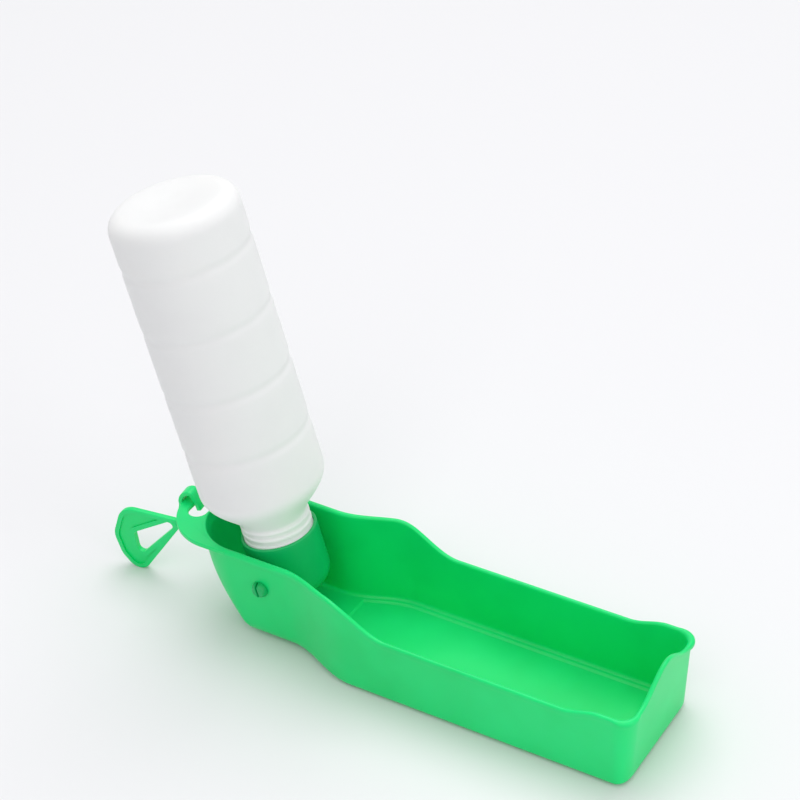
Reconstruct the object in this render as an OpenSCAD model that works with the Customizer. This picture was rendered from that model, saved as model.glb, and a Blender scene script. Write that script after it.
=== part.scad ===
// Dog travel water bottle: a squeeze bottle that leans back in a pivoting collar at the
// rear of a green drinking trough, and folds down into the trough for carrying.
// Millimetres, +Z up, +X from the bottle to the drinking end.
// The origin is the middle of the front foot, on the table.

/* [Bottle] */
// Outside diameter of the bottle body
bottle_d = 63; // [58:0.5:68]
// Length of the bottle from its lip to its base
bottle_len = 191; // [150:1:220]
// Wall of the blown bottle
bottle_wall = 0.9; // [0.6:0.1:1.6]
// Radius of the edge between base and side
base_round = 8; // [4:0.5:14]
// How far the middle of the base is pushed in
base_dimple = 2; // [0:0.5:4]
// Length of the shoulder between neck and body
shoulder_len = 21; // [14:0.5:30]
// Rings round the body
ring_count = 4; // [0:1:6]
// Spacing of the rings
ring_pitch = 33; // [20:1:36]
// Depth of a ring
ring_depth = 0.7; // [0.2:0.1:1.2]
// Width of a ring
ring_w = 5; // [3:0.5:8]

/* [Neck and thread] */
// Outside diameter of the neck over its thread
neck_d = 35.2; // [30:0.2:40]
// Length of the neck from lip to shoulder
neck_len = 19.5; // [16:0.5:26]
// Wall of the neck
neck_wall = 2; // [1.4:0.1:3]
// Rise of the thread in one turn
thread_pitch = 4; // [3:0.5:5]
// Turn left before the bottle is tight, in degrees
tighten_turn = 225; // [90:15:270]

/* [Collar] */
// Wall of the collar over the thread
collar_wall = 1.7; // [1.4:0.1:2.4]
// Height of the collar's rim above the pivot, along the bottle
collar_top = 18.9; // [17:0.1:22]
// Depth of the collar's bottom below the pivot, along the bottle
collar_drop = 15; // [13:0.5:18]
// Radius round the bottom of the collar
collar_round = 10; // [6:0.5:11]
// Wall of the water chamber under the thread
chamber_wall = 3.2; // [2.4:0.1:4]
// Thickness of the collar's floor
collar_floor = 2.4; // [2:0.1:3]
// Thickness of the sealing ring under the lip
gasket_t = 1.5; // [1:0.1:2]

/* [Pivot] */
// Diameter of the snap pins
pin_d = 7; // [5:0.5:9]
// Height of the pivot above the table
pivot_z = 35; // [34:0.5:40]
// How far a pin's head stands out of the wall
pin_proud = 3.4; // [2.5:0.1:5]
// Bite of the pin's head over its hole, on the radius
pin_barb = 0.8; // [0.4:0.1:1.2]
// Width of the slot that lets the pin's head close
pin_slot = 1.8; // [1.2:0.1:2.4]
// Angle at which the bottle leans back, from upright
lean = 12.75; // [5:0.25:20]

/* [Valve] */
// Diameter of the valve's flange
valve_d = 19; // [16:0.5:21]
// Thickness of the valve's flange
valve_flange_t = 1.4; // [1:0.1:2]
// Diameter of the valve's nose
valve_nose_d = 12; // [9:0.5:13]
// Thickness of the valve's skin
valve_skin = 1.1; // [0.8:0.1:1.4]
// Height of the ring that holds the valve down
retainer_h = 2.4; // [1.8:0.1:3.2]

/* [Trough] */
// Wall of the trough
wall = 1.9; // [1.6:0.1:2.6]
// Thickness of the trough's floor
floor_t = 2; // [1.6:0.1:2.6]
// Height of the low rim at the drinking end
low_rim_z = 38.6; // [36:0.2:42]
// Height of the rim round the front corners
corner_rim_z = 43.3; // [42.5:0.1:48]
// Height of the crest in the middle of the front wall
crest_z = 55; // [50:0.5:60]
// Height of the high rim beside the collar
high_rim_z = 53.2; // [50:0.2:58]
// Slope of the side walls, in degrees
side_draft = 1.2; // [0.5:0.1:2]
// How far the front wall leans out between table and rim
front_rake = 4; // [2:0.1:5]
// Radius of the front corners in plan
corner_r = 10; // [7:0.5:14]
// Radius along the bottom edge at the drinking end
foot_round = 2.6; // [1.5:0.1:4]
// Radius between the floor and the walls inside
floor_round = 4; // [2.5:0.1:6]
// How far the rim's bead stands out of the wall
bead = 0.5; // [0.3:0.05:0.8]
// How far the rim stands out round the stern and the tab
stern_lip = 1.8; // [1:0.1:2.2]
// How much further the rim stands out at the front corners
corner_lip = 1.6; // [0:0.1:2.4]
// Height of the rim's bead
bead_h = 2.6; // [2:0.1:4]
// Gap between the folded bottle and each side wall, at the pivot's height
side_gap = 1.2; // [0.8:0.1:2]
// Gap between the folded bottle's base and the front wall
base_gap = 0.8; // [0.6:0.1:3]
// Length of the slope between the high and the low rim
swoop_len = 35; // [26:1:44]
// Length of the rise of the rim before the front corners
rise_len = 21; // [14:1:28]
// Depth of the panel that is sunk in the floor
panel_depth = 0.8; // [0.4:0.1:1.2]
// Distance of the sunk panel from the outside of the walls
panel_inset = 9.3; // [7:0.1:12]

/* [Rear bay] */
// Gap between the collar and each wall of the bay, at the pivot's height
bay_gap = 3.6; // [2.6:0.1:5]
// Distance from the pivot back to the middle of the round stern
stern_back = 18; // [15:0.5:24]
// How far the stern's bottom lies in front of its rim
stern_rake = 31; // [20:0.5:34]
// How quickly the stern curves under
stern_power = 2.6; // [1.6:0.1:3.2]
// Radius along the bottom edge of the bay
bay_round = 8; // [4:0.5:10]

/* [Feet] */
// Height of the two feet under the trough
foot_h = 1; // [0.6:0.1:1.6]
// Length of the front foot
foot_len = 144; // [110:1:150]
// Length of the rear foot
rear_foot_len = 22; // [14:1:28]
// Width of the rear foot
rear_foot_w = 30; // [20:1:34]

/* [Tab] */
// Thickness of the tab
tab_t = 2.5; // [2:0.1:3.5]
// Distance of the tab's round end behind the stern's middle
tab_back = 15; // [13:0.5:20]
// Length of the slot, across the tab
slot_len = 21.6; // [18:0.2:26]
// Width of the slot
slot_w = 10; // [9.6:0.1:12]
// Width of the bar behind the slot
bar_w = 6.3; // [5:0.1:6.6]

/* [Carry loop] */
// Thickness of the loop and its hook
loop_t = 2.8; // [2.2:0.1:3.6]
// Thickness of the web between the loop's raised edges
loop_web = 1.6; // [1.2:0.1:2.2]
// Width of the loop's raised edges
loop_edge = 2.4; // [1.5:0.1:2.8]
// Length of the loop from the bar to its far side
loop_len = 48; // [44:0.5:58]
// Thickness of the hook's bent arm
hook_t = 2.1; // [1.8:0.1:2.4]
// Angle by which the loop stands askew, seen from above
loop_yaw = 6.5; // [0:0.5:9]
// How far the hook has slid along the bar, towards the near side
loop_shift = 2; // [0:0.5:4]

/* [Fits] */
// Running clearance round the pivot pins, on the radius
pin_fit = 0.06; // [0.03:0.01:0.1]
// Running clearance of the neck in the collar, on the radius
neck_fit = 0.08; // [0.04:0.01:0.1]
// Clearance of a soft piece in its seat
soft_fit = 0.2; // [0.1:0.05:0.3]
// Seating gap between two pieces that touch
seat_gap = 0.05; // [0.02:0.01:0.1]

/* [Hidden] */
$fn = 96;

green = [0.16, 0.78, 0.45];
green_deep = [0.05, 0.62, 0.33];
milky = [0.91, 0.92, 0.92];
silicone = [0.86, 0.88, 0.88];

// Bottle, measured along its own axis from the pivot
bottle_r = bottle_d / 2;
neck_r = neck_d / 2;
tighten_travel = thread_pitch * tighten_turn / 360;
ledge_s = 5.7;
lip_s = ledge_s + seat_gap + gasket_t + tighten_travel + seat_gap;
shoulder_s = lip_s + neck_len;
body_s = shoulder_s + shoulder_len;
base_s = lip_s + bottle_len;
first_ring_s = (body_s + base_s - ring_pitch * (ring_count - 1)) / 2;

// Collar
bore_r = neck_r + neck_fit;
collar_r = bore_r + collar_wall;
chamber_r = collar_r - chamber_wall;
chamber_floor_s = collar_floor - collar_drop;

// Trough, seen from above
draft = tan(side_draft);
plan_top = high_rim_z;
half_w = bottle_r + side_gap + wall + draft * (plan_top - pivot_z);
bay_half = collar_r + bay_gap + wall + draft * (plan_top - pivot_z);
shell_z = foot_h;
floor_z = foot_h + floor_t;
rake = front_rake / (corner_rim_z - shell_z);
base_flat_z = pivot_z - bottle_r + base_round;
pivot_to_front = base_s + base_gap + wall + rake * (corner_rim_z - base_flat_z);
foot_margin = 0.9;
front_x = foot_len / 2 + foot_round + front_rake + foot_margin;
pivot_x = front_x - pivot_to_front;
stern_x = pivot_x - stern_back;
tail_x = stern_x - bay_half;
taper_rear_x = pivot_x + shoulder_s - 0.75 * shoulder_len;
taper_front_x = pivot_x + body_s + 0.2 * shoulder_len;
swoop_rear_x = taper_front_x - swoop_len / 3;
swoop_front_x = swoop_rear_x + swoop_len;
corner_flat_x = front_x - 1.5 * corner_r;
corner_rise_x = corner_flat_x - rise_len;
crest_half = half_w - corner_r;
bow_x = pivot_x - bay_round;

// Tab and hook
tab_drop = 0.15;
tab_x = stern_x - tab_back;
tab_half = bay_half + stern_lip;
tab_tip_x = tab_x - tab_half;
slot_x = tab_tip_x + bar_w + slot_w / 2;
bar_x = tab_tip_x + bar_w / 2;
tab_top_z = high_rim_z - tab_drop;
bar_z = tab_top_z - tab_t / 2;

function clamp01(t) = max(0, min(1, t));

// A smooth step from 0 to 1
function ease(t) = 0.5 - 0.5 * cos(180 * clamp01(t));

// Half width of the trough at its rim
function plan_half(x) = bay_half
    + (half_w - bay_half) * ease((x - taper_rear_x) / (taper_front_x - taper_rear_x));

// Height of the rim along the sides, and round the front
function side_rim(x) = high_rim_z
    + (low_rim_z - high_rim_z) * ease((x - swoop_rear_x) / (swoop_front_x - swoop_rear_x))
    + (corner_rim_z - low_rim_z) * ease((x - corner_rise_x) / (corner_flat_x - corner_rise_x));
function rim_height(p) = side_rim(p.x)
    + (p.x > corner_flat_x ? (crest_z - corner_rim_z) * ease(1 - abs(p.y) / crest_half) : 0);

// Half of the outline, from the middle of the stern to the middle of the front wall
stern_steps = 10;
taper_steps = 14;
rise_steps = 6;
corner_steps = 6;
crest_steps = 9;
half_plan = concat(
    [for (i = [0:stern_steps]) let (a = 90 * i / stern_steps)
        [stern_x - bay_half * cos(a), bay_half * sin(a)]],
    [for (i = [0:taper_steps]) let (x = taper_rear_x + (swoop_front_x - taper_rear_x) * i / taper_steps)
        [x, plan_half(x)]],
    [for (i = [0:rise_steps]) let (x = corner_rise_x + (corner_flat_x - corner_rise_x) * i / rise_steps)
        [x, half_w]],
    [for (i = [0:corner_steps]) let (a = 90 * i / corner_steps)
        [front_x - corner_r * (1 - sin(a)), half_w - corner_r * (1 - cos(a))]],
    [for (i = [1:crest_steps]) [front_x, crest_half * (1 - i / crest_steps)]]);
half_count = len(half_plan);
plan = concat(half_plan, [for (i = [half_count - 2:-1:1]) [half_plan[i].x, -half_plan[i].y]]);
plan_count = len(plan);

// Outward direction of the outline at one of its points
function plan_normal(i) = let (
        a = plan[(i + plan_count - 1) % plan_count],
        b = plan[(i + 1) % plan_count],
        t = (b - a) / norm(b - a))
    [-t.y, t.x];
normals = [for (i = [0:plan_count - 1]) plan_normal(i)];

// How far the stern has come forward at height z, and its slope there
function stern_run(z) = stern_rake * pow(clamp01((plan_top - z) / (plan_top - shell_z)), stern_power);
function stern_slope(z) = stern_rake * stern_power / (plan_top - shell_z)
    * pow(clamp01((plan_top - z) / (plan_top - shell_z)), stern_power - 1);
function bowed(x, z) = x >= bow_x ? x
    : bow_x + (x - bow_x) * (1 - stern_run(z) / (bow_x - tail_x));

// Radius of the bottom edge: small at the drinking end, large at the bay
function edge_round(x) = bay_round + (foot_round - bay_round)
    * ease((x - taper_rear_x) / (taper_front_x - taper_rear_x));

// A point of the shell: outline point i at height z, set in by d, behind a wall of the given thickness
keel_slope = stern_slope(shell_z);
keel_turn = sqrt(1 + keel_slope * keel_slope) - keel_slope;
function shell_point(i, z, d, skin = 0) = let (
        p = plan[i],
        n = normals[i],
        inward = skin * sqrt(1 + pow(max(0, -n.x) * stern_slope(z), 2)),
        under = p.x < bow_x ? keel_turn : 1)
    [bowed(p.x, z) - n.x * (inward + d * under) - max(0, n.x) * rake * (corner_rim_z - z),
        p.y - n.y * (inward + draft * (plan_top - z) * n.y * n.y + d), z];

wall_steps = 7;
round_steps = 4;
diagonal = 1 - sqrt(0.5);
around = [0:plan_count - 1];

// How far the rim stands out at outline point i, and the radius of its round top
function lip(i) = let (n = normals[i])
    bead + (stern_lip - bead) * ease((taper_front_x - plan[i].x) / (taper_front_x - stern_x))
    + corner_lip * max(0, n.x) * abs(n.y) * 2;
function rim_r(i) = (wall + lip(i)) / 2;
function lip_low(i) = rim_height(plan[i]) - bead_h - lip(i);

// The rings of points that make the shell, from the flat bottom out, up, over the rim and in
outer_edge_rings = [for (k = [0:round_steps - 1]) let (a = 90 * k / round_steps)
    [for (i = around) let (r = edge_round(plan[i].x))
        shell_point(i, shell_z + r * (1 - cos(a)), r * (1 - sin(a)))]];
outer_wall_rings = [for (k = [0:wall_steps])
    [for (i = around) let (low = shell_z + edge_round(plan[i].x))
        shell_point(i, low + (lip_low(i) - low) * k / wall_steps, 0)]];
rim_rings = [for (step = [[1, 0], [diagonal, diagonal], [0, 1], [diagonal, 2 - diagonal]])
    [for (i = around)
        shell_point(i, rim_height(plan[i]) - rim_r(i) * step[0], rim_r(i) * step[1] - lip(i))]];
lip_rings = [[for (i = around) shell_point(i, rim_height(plan[i]) - bead_h, -lip(i))]];
inner_lip_rings = [[for (i = around) shell_point(i, rim_height(plan[i]) - rim_r(i), 0, wall)]];
inner_wall_rings = [for (k = [wall_steps:-1:0])
    [for (i = around) let (low = floor_z + floor_round)
        shell_point(i, low + (lip_low(i) - low) * k / wall_steps, 0, wall)]];
inner_edge_rings = [for (k = [round_steps - 1:-1:0]) let (a = 90 * k / round_steps)
    [for (i = around)
        shell_point(i, floor_z + floor_round * (1 - cos(a)), floor_round * (1 - sin(a)), wall)]];
shell_rings = concat(outer_edge_rings, outer_wall_rings, lip_rings, rim_rings,
    inner_lip_rings, inner_wall_rings, inner_edge_rings);
shell_points = [for (ring = shell_rings) each ring];
last_ring = (len(shell_rings) - 1) * plan_count;

// The flat area inside a ring, as strips between mirrored points and a fan along the front wall
fan_start = half_count - 2 - crest_steps;
flat_strips = concat(
    [[0, 1, plan_count - 1]],
    [for (i = [1:fan_start - 1]) [i, i + 1, plan_count - i - 1, plan_count - i]],
    [for (i = [fan_start + 1:plan_count - fan_start - 1]) [fan_start, i, i + 1]]);
shell_faces = concat(
    [for (strip = flat_strips) [for (k = [len(strip) - 1:-1:0]) strip[k]]],
    [for (k = [0:len(shell_rings) - 2], i = around) let (
            a = k * plan_count + i,
            b = k * plan_count + (i + 1) % plan_count)
        each [[a, b, b + plan_count], [a, b + plan_count, a + plan_count]]],
    [for (strip = flat_strips) [for (i = strip) last_ring + i]]);

// A flat pad with round corners
module pad(x0, x1, w, r, h) {
    linear_extrude(height = h)
        union() {
            translate([x0 + r, -w / 2])
                square([x1 - x0 - 2 * r, w]);
            translate([x0, r - w / 2])
                square([x1 - x0, w - 2 * r]);
            for (x = [x0 + r, x1 - r], y = [r - w / 2, w / 2 - r])
                translate([x, y])
                    circle(r);
        }
}

// Half width of the flat bottom of the shell at x
function bottom_half(x) = plan_half(x) - draft * (plan_top - shell_z) - edge_round(x);

module feet() {
    overlap = floor_t / 2;
    foot_w = 2 * bottom_half(0) - foot_margin;
    pad(-foot_len / 2, foot_len / 2, foot_w, corner_r - foot_round, foot_h + overlap);
    rear_foot_x = bow_x + bay_round / 2;
    pad(rear_foot_x, rear_foot_x + rear_foot_len, rear_foot_w, rear_foot_w / 4, foot_h + overlap);
}

// The sunk panel in the floor, with sides that follow the walls
module floor_panel() {
    x0 = taper_rear_x + panel_inset * 1.5;
    x1 = front_x - front_rake - panel_inset;
    stations = 18;
    side = [for (k = [0:stations]) let (x = x0 + (x1 - x0) * k / stations) [x, plan_half(x) - panel_inset]];
    translate([0, 0, floor_z - panel_depth])
        intersection() {
            linear_extrude(height = floor_t)
                polygon(concat(side, [for (k = [stations:-1:0]) [side[k].x, -side[k].y]]));
            pad(x0, x1, 2 * (half_w - panel_inset), corner_r - panel_inset / 2, floor_t);
        }
}

// The flat tab behind the stern, just under the rim's crest
module tab() {
    translate([0, 0, tab_top_z - tab_t])
        linear_extrude(height = tab_t)
            difference() {
                union() {
                    translate([tab_x, 0])
                        circle(tab_half);
                    translate([tab_x, -tab_half])
                        square([tab_back, 2 * tab_half]);
                }
                translate([stern_x, 0])
                    circle(bay_half + stern_lip - rim_r(0));
            }
}

module slot() {
    half = (slot_len - slot_w) / 2;
    translate([slot_x, 0, high_rim_z - tab_t - 1])
        linear_extrude(height = tab_t + 2)
            union() {
                square([slot_w, 2 * half], center = true);
                for (y = [-half, half])
                    translate([0, y])
                        circle(slot_w / 2);
            }
}

module trough() {
    color(green)
        difference() {
            union() {
                polyhedron(points = shell_points, faces = shell_faces, convexity = 6);
                tab();
                feet();
            }
            slot();
            floor_panel();
            translate([pivot_x, 0, pivot_z])
                rotate([90, 0, 0])
                    cylinder(h = 3 * bay_half, r = pin_r + pin_fit, center = true);
        }
}

// Places a piece that is drawn along +Z from the pivot, leaning back
module on_bottle_axis() {
    translate([pivot_x, 0, pivot_z])
        rotate([0, -lean, 0])
            children();
}

// Radius of the bottle's shoulder and body at a height s above the pivot
shoulder_power = 1.4;
function shoulder_r(s, neck, body) = neck
    + (body - neck) * pow(sin(90 * clamp01((s - shoulder_s) / shoulder_len)), shoulder_power);
function groove(s) = ring_depth * max([0, for (k = [0:1:ring_count - 1])
    let (off = (s - first_ring_s - k * ring_pitch) / ring_w)
    abs(off) < 0.5 ? (1 + cos(360 * off)) / 2 : 0]);

shoulder_steps = 12;
groove_steps = 6;
base_steps = 6;
lip_chamfer = 0.5;
body_stations = concat(
    [for (i = [0:shoulder_steps]) shoulder_s + shoulder_len * i / shoulder_steps],
    [for (k = [0:1:ring_count - 1], i = [0:groove_steps])
        first_ring_s + k * ring_pitch + ring_w * (i / groove_steps - 0.5)]);
function base_arc(r, top, flip) = [for (i = [0:base_steps])
    let (a = 90 * (flip ? 1 - i / base_steps : i / base_steps))
    [r - base_round * (1 - cos(a)), top - base_round * (1 - sin(a))]];
function dimple_arc(top, flip) = [for (i = [1:base_steps])
    let (t = flip ? 1 - (i - 1) / base_steps : i / base_steps)
    [(bottle_r - base_round) * (1 - t), top - base_dimple * ease(t)]];
bottle_profile = concat(
    [[neck_r - lip_chamfer, lip_s], [neck_r, lip_s + lip_chamfer]],
    [for (s = body_stations) [shoulder_r(s, neck_r, bottle_r) - groove(s), s]],
    base_arc(bottle_r, base_s, false),
    dimple_arc(base_s, false),
    dimple_arc(base_s - bottle_wall, true),
    base_arc(bottle_r - bottle_wall, base_s - bottle_wall, true),
    [for (k = [len(body_stations) - 1:-1:0]) let (s = body_stations[k])
        [shoulder_r(s - bottle_wall, neck_r - neck_wall, bottle_r - bottle_wall) - groove(s), s]],
    [[neck_r - neck_wall, lip_s]]);

module bottle() {
    color(milky)
        on_bottle_axis()
            rotate_extrude()
                polygon(bottle_profile);
}

module lip_gasket() {
    color(silicone)
        on_bottle_axis()
            translate([0, 0, lip_s - seat_gap - gasket_t])
                rotate_extrude()
                    translate([neck_r - neck_wall + soft_fit, 0])
                        square([neck_wall - 2 * soft_fit + neck_fit, gasket_t]);
}

// Valve seat in the collar's floor
pin_r = pin_d / 2;
valve_r = valve_d / 2;
nose_r = valve_nose_d / 2;
nose_hole_r = nose_r + soft_fit;
seat_r = valve_r + soft_fit;
seat_wall = 1.6;
seat_lead = 0.4;
seat_top_s = chamber_floor_s + seat_gap + valve_flange_t + seat_gap + retainer_h + seat_lead;

round_count = 8;
rim_chamfer = 0.6;
bore_chamfer = 0.5;
chamber_chamfer = 2;
collar_profile = concat(
    [[nose_hole_r, -collar_drop]],
    [for (i = [0:round_count]) let (a = 90 * i / round_count)
        [collar_r - collar_round * (1 - sin(a)), -collar_drop + collar_round * (1 - cos(a))]],
    [[collar_r, collar_top - rim_chamfer], [collar_r - rim_chamfer, collar_top],
        [bore_r + bore_chamfer, collar_top], [bore_r, collar_top - bore_chamfer],
        [bore_r, ledge_s], [chamber_r, ledge_s],
        [chamber_r, chamber_floor_s + chamber_chamfer], [chamber_r - chamber_chamfer, chamber_floor_s],
        [seat_r + seat_wall, chamber_floor_s], [seat_r + seat_wall, seat_top_s],
        [seat_r, seat_top_s], [seat_r, chamber_floor_s], [nose_hole_r, chamber_floor_s]]);

// Snap pins: a boss that runs beside the wall, the pin in its hole, and a split barbed head outside
bay_inside = bay_half - wall - draft * (plan_top - pivot_z);
bay_outside = bay_inside + wall;
pin_drop = draft * (pin_r + pin_barb);
boss_step = 2;
boss_gap = 0.2;
head_edge = 0.8;
head_taper = 0.4;
module snap_pin() {
    boss_r = pin_r + boss_step;
    boss_end = bay_inside - pin_drop - boss_gap;
    neck_end = bay_outside + pin_drop + seat_gap;
    tip = bay_outside + pin_proud;
    rotate_extrude()
        polygon([[0, collar_r - collar_wall / 2], [boss_r, collar_r - collar_wall / 2],
            [boss_r, boss_end], [pin_r, boss_end],
            [pin_r, neck_end], [pin_r + pin_barb, neck_end], [pin_r + pin_barb, neck_end + head_edge],
            [pin_r - head_taper, tip], [0, tip]]);
}

module collar_cap() {
    slot_end = bay_outside + pin_proud + 1;
    color(green_deep)
        on_bottle_axis()
            difference() {
                union() {
                    rotate_extrude()
                        polygon(collar_profile);
                    for (side = [-1, 1])
                        rotate([-90 * side, 0, 0])
                            snap_pin();
                }
                for (side = [-1, 1])
                    translate([0, side * (bay_inside + slot_end) / 2, 0])
                        cube([pin_slot, slot_end - bay_inside, 3 * pin_r], center = true);
            }
}

// A silicone valve: a flange on the floor and a nose through it, with a cross slit in its tip
nose_taper = 1.6;
module slit_valve() {
    slit_w = 0.25;
    nose_drop = collar_floor + nose_taper;
    inner_r = nose_r - valve_skin;
    color(silicone)
        on_bottle_axis()
            translate([0, 0, chamber_floor_s + seat_gap])
                difference() {
                    rotate_extrude()
                        polygon([[0, -nose_drop], [nose_r - nose_taper, -nose_drop],
                            [nose_r, nose_taper - nose_drop], [nose_r, 0],
                            [valve_r, 0], [valve_r, valve_flange_t], [inner_r, valve_flange_t],
                            [inner_r, nose_taper + valve_skin / 2 - nose_drop],
                            [inner_r - valve_skin, valve_skin - nose_drop], [0, valve_skin - nose_drop]]);
                    for (turn = [0, 90])
                        rotate([0, 0, turn])
                            translate([0, 0, -nose_drop])
                                cube([nose_r, slit_w, 3 * valve_skin], center = true);
                }
}

module valve_retainer() {
    inner = nose_r + lip_chamfer;
    outer = seat_r - seat_gap;
    color(green_deep)
        on_bottle_axis()
            translate([0, 0, chamber_floor_s + 2 * seat_gap + valve_flange_t])
                rotate_extrude()
                    polygon([[inner, 0], [outer, 0], [outer, retainer_h - seat_lead],
                        [outer - seat_lead, retainer_h], [inner + head_edge, retainer_h],
                        [inner, retainer_h - head_edge]]);
}

// Corners of the loop and of the hook: [distance out from the bar, height above it, radius]
loop_far = [[loop_len - 13, 28.2, 10.4], [loop_len - 11.6, 18.2, 11.6], [loop_len - 12.2, 7.2, 7.2]];
loop_near = [9.1, 36.4, 2.4];
loop_eye = [[loop_len - 14.8, 22.2, 2.6], [loop_len - 15.4, 14.3, 2.6], [13.9, 34, 2.3]];
hook_path = [[9.1, -15.5], [5, -3.2], [4.7, 1.2], [3.2, 4.5], [0.4, 6.4],
    [-1.7, 6.3], [-3, 4.3], [-4.6, 1], [-5.6, -2.5]];

loop_least_r = 0.15;
loop_sides = 32;
module loop_shape(corners, grow) {
    hull()
        for (c = corners)
            translate([-c[0], c[1] - bar_z])
                circle(max(loop_least_r, c[2] + grow), $fn = loop_sides);
}

// The hook's bent arm: a smooth line through the points of its path, with a constant thickness
function knot(i) = hook_path[max(0, min(len(hook_path) - 1, i))];
function along(i, t) = let (a = knot(i - 1), b = knot(i), c = knot(i + 1), d = knot(i + 2))
    (2 * b + (c - a) * t + (2 * a - 5 * b + 4 * c - d) * t * t + (3 * b - a - 3 * c + d) * t * t * t) / 2;
hook_steps = 6;
hook_line = [for (k = [0:hook_steps * (len(hook_path) - 1)])
    along(floor(k / hook_steps), (k % hook_steps) / hook_steps)];
function hook_edge(k, side) = let (
        t = hook_line[min(k + 1, len(hook_line) - 1)] - hook_line[max(k - 1, 0)])
    hook_line[k] + side * hook_t / 2 * [-t.y, t.x] / norm(t);
hook_outline = concat(
    [for (k = [0:len(hook_line) - 1]) hook_edge(k, 1)],
    [for (k = [len(hook_line) - 1:-1:0]) hook_edge(k, -1)]);

module carry_loop() {
    pocket = (loop_t - loop_web) / 2;
    color(green)
        translate([bar_x, 0, bar_z])
            rotate([90, 0, loop_yaw])
                translate([0, 0, loop_shift])
                    difference() {
                        union() {
                            linear_extrude(height = loop_t, center = true)
                                difference() {
                                    loop_shape(concat(loop_far, [loop_near]), 0);
                                    loop_shape(loop_eye, 0);
                                }
                            linear_extrude(height = loop_t, center = true)
                                polygon([for (p = hook_outline) [-p.x, p.y]]);
                        }
                        for (side = [-1, 1])
                            translate([0, 0, side * (loop_web / 2 + pocket)])
                                linear_extrude(height = 2 * pocket, center = true)
                                    difference() {
                                        loop_shape(concat(loop_far, [loop_near]), -loop_edge);
                                        loop_shape(loop_eye, loop_edge);
                                    }
                    }
}

trough();
collar_cap();
bottle();
lip_gasket();
slit_valve();
valve_retainer();
carry_loop();
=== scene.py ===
"""Looks of a pet travel water bottle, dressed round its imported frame.

A frosted squeeze bottle leans back in a deep green collar at the rear of a glossy
green drinking trough, and a carry loop hangs from the trough's tab.  Every size in
the classes is in millimetres, in the frame of the part: +Z up, +X towards the
drinking end, the origin in the middle of the front foot, on the table.
"""

import enum
import logging
import math
from dataclasses import dataclass, field

import bmesh
import bpy
from mathutils import Matrix, Vector
from mathutils.geometry import convex_hull_2d


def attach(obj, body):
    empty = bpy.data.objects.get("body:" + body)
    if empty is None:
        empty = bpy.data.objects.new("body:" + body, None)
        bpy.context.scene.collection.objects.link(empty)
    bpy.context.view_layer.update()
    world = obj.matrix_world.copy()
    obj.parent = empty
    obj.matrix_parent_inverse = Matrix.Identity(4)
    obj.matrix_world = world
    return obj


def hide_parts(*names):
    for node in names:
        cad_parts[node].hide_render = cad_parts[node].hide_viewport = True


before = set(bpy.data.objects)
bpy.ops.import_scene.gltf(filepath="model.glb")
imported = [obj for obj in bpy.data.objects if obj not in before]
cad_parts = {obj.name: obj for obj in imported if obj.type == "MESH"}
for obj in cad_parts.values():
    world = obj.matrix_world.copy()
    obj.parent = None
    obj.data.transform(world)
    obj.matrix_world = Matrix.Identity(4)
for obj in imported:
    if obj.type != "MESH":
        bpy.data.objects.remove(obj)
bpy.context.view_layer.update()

logging.basicConfig(level=logging.INFO, format="%(message)s")
LOG = logging.getLogger("travel_bottle")

Mesh = bmesh.types.BMesh
Edge = bmesh.types.BMEdge
Vert = bmesh.types.BMVert
Piece = bpy.types.Object
Socket = bpy.types.NodeSocket
Pair = tuple[float, float]
Triple = tuple[float, float, float]

# MM is a millimetre in metres, NEAR a slack in millimetres, and BEND the angle in radians past which an
# edge counts as a border.
MM = 0.001
NEAR = 0.01
BEND = 0.8
# Values of the cloud noise between which the deeper and the paler shade fade.
DEEP_BAND = (0.34, 0.5)
PALE_BAND = (0.5, 0.68)


# Helpers for numbers, meshes and solids.


class Cut(enum.Enum):
    """What a tool solid does to the solid that it meets."""

    ADD = "UNION"
    TAKE = "DIFFERENCE"


def clamp01(t: float) -> float:
    """Returns t held between 0 and 1."""
    return max(0.0, min(1.0, t))


def ease(t: float) -> float:
    """Returns a smooth step from 0 to 1."""
    return 0.5 - 0.5 * math.cos(math.pi * clamp01(t))


def ramp(x: float, start: float, end: float) -> float:
    """Returns a smooth step from 0 where x is start to 1 where x is end."""
    return ease((x - start) / (end - start))


def mix(a: float, b: float, t: float) -> float:
    """Returns the number that lies a share t of the way from a to b."""
    return a + (b - a) * t


def spread(start: float, end: float, steps: int) -> list[float]:
    """Returns evenly spaced numbers from start to end, both ends among them."""
    return [start + (end - start) * k / steps for k in range(steps + 1)]


def arc(cx: float, cy: float, r: float, a0: float, a1: float, steps: int) -> list[Pair]:
    """Samples a circular arc.

    Args:
        cx: First coordinate of the centre.
        cy: Second coordinate of the centre.
        r: Radius.
        a0: Start angle in degrees.
        a1: End angle in degrees.
        steps: Number of steps.

    Returns:
        The points of the arc, both ends among them.
    """
    angles = [math.radians(a0 + (a1 - a0) * i / steps) for i in range(steps + 1)]
    return [(cx + r * math.cos(a), cy + r * math.sin(a)) for a in angles]


def link(name: str, bm: Mesh) -> Piece:
    """Turns a bmesh in millimetres into a linked object in metres.

    Args:
        name: Name of the object and its mesh.
        bm: The bmesh, which is freed.

    Returns:
        The object, with its place in its mesh.
    """
    bmesh.ops.scale(bm, vec=(MM, MM, MM), verts=bm.verts)
    mesh = bpy.data.meshes.new(name)
    bm.to_mesh(mesh)
    bm.free()
    obj = bpy.data.objects.new(name, mesh)
    bpy.context.scene.collection.objects.link(obj)
    return obj


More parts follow.
